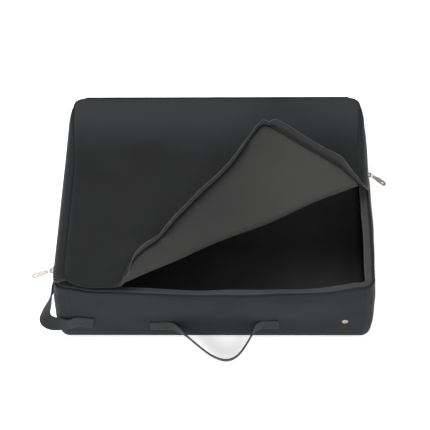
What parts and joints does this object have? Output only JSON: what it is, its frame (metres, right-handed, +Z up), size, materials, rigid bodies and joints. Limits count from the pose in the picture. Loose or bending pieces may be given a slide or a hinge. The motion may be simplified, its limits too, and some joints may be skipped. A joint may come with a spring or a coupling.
{
  "type": "garment bag",
  "caption": "Soft rectangular garment bag lying flat, zipped lid with one corner folded back, two strap handles and metal zip pulls.",
  "frame": {"origin": "centre of the base underside", "axes": "+X to the right along the longest side, +Y to the back where the lid is sewn on, +Z up"},
  "size_m": [0.6442, 0.5152, 0.2163],
  "materials": {
    "outer_fabric": "matte woven polyester",
    "lid_fabric": "matte woven polyester",
    "lining": "thin plain lining",
    "lid_lining": "thin coated lining, warm grey",
    "zip_tape": "woven zip tape",
    "zip_coil": "moulded nylon coil",
    "binding": "folded edge binding",
    "webbing": "woven strap webbing",
    "padding": "thin closed-cell foam",
    "board": "stiff plastic board",
    "metal": "satin nickel plating"
  },
  "bodies": {
    "shell": {"base_panel": "outer_fabric", "base_board": "board", "base_lining": "lining", "base_binding": "binding", "front_panel": "outer_fabric", "back_panel": "outer_fabric", "left_panel": "outer_fabric", "right_panel": "outer_fabric", "front_foam": "padding", "back_foam": "padding", "left_foam": "padding", "right_foam": "padding", "front_lining": "lining", "back_lining": "lining", "left_lining": "lining", "right_lining": "lining", "body_zip_tape": "zip_tape", "body_zip_coil": "zip_coil", "zip_end_tabs": "outer_fabric", "front_handle_ends": "webbing", "corner_handle_ends": "webbing", "rivet_head": "metal", "rivet_washer": "metal"},
    "lid": {"lid_panel": "lid_fabric", "lid_lining": "lining", "lid_left_skirt": "lid_fabric", "lid_right_skirt": "lid_fabric", "lid_binding": "binding", "lid_zip_tape": "zip_tape", "lid_zip_coil": "zip_coil"},
    "flap": {"flap_panel": "lid_fabric", "flap_lining": "lid_lining", "flap_front_skirt": "lid_fabric", "flap_right_skirt": "lid_fabric", "flap_binding": "binding", "flap_zip_tape": "zip_tape", "flap_zip_coil": "zip_coil"},
    "left_slider": {"left_slider": "metal"},
    "left_link": {"left_link": "metal"},
    "left_pull": {"left_pull": "metal"},
    "right_slider": {"right_slider": "metal"},
    "right_link": {"right_link": "metal"},
    "right_pull": {"right_pull": "metal"},
    "front_handle": {"front_handle_loop": "webbing"},
    "corner_handle": {"corner_handle_loop": "webbing"}
  },
  "joints": [
    {"name": "lid_hinge", "type": "hinge", "parent": "shell", "child": "lid", "pos_m": [0, 0.2242, 0.169], "axis": [-1, 0, 0], "range_deg": [0, 110]},
    {"name": "flap_fold", "type": "hinge", "parent": "lid", "child": "flap", "pos_m": [0.05047, -0.11903, 0.1736], "axis": [0.8829, 0.4695, 0], "range_deg": [0, 174]},
    {"name": "left_slider_slide", "type": "slide", "parent": "shell", "child": "left_slider", "axis": [0, 1, 0], "range_m": [0, 0.34]},
    {"name": "left_link_swing", "type": "hinge", "parent": "left_slider", "child": "left_link", "pos_m": [-0.2902, -0.186, 0.15], "axis": [-0.2588, 0.9659, 0], "range_deg": [0, 85]},
    {"name": "left_pull_swing", "type": "hinge", "parent": "left_link", "child": "left_pull", "pos_m": [-0.29876, -0.18829, 0.14844], "axis": [-0.1677, -0.0449, 0.9848], "range_deg": [-40, 40]},
    {"name": "right_slider_slide", "type": "slide", "parent": "shell", "child": "right_slider", "axis": [0, 1, 0], "range_m": [0, 0.125]},
    {"name": "right_link_swing", "type": "hinge", "parent": "right_slider", "child": "right_link", "pos_m": [0.2902, 0.04, 0.15], "axis": [-0.2588, -0.9659, 0], "range_deg": [0, 110]},
    {"name": "right_pull_swing", "type": "hinge", "parent": "right_link", "child": "right_pull", "pos_m": [0.29749, 0.03805, 0.1451], "axis": [0.5261, -0.141, 0.8387], "range_deg": [-40, 40]},
    {"name": "front_handle_swing", "type": "hinge", "parent": "shell", "child": "front_handle", "pos_m": [0, -0.2285, 0.041], "axis": [-1, 0, 0], "range_deg": [0, 60]},
    {"name": "corner_handle_swing", "type": "hinge", "parent": "shell", "child": "corner_handle", "pos_m": [-0.255, -0.229, 0.051], "axis": [-0.4101, 0.8999, 0.1481], "range_deg": [0, 25]}
  ]
}
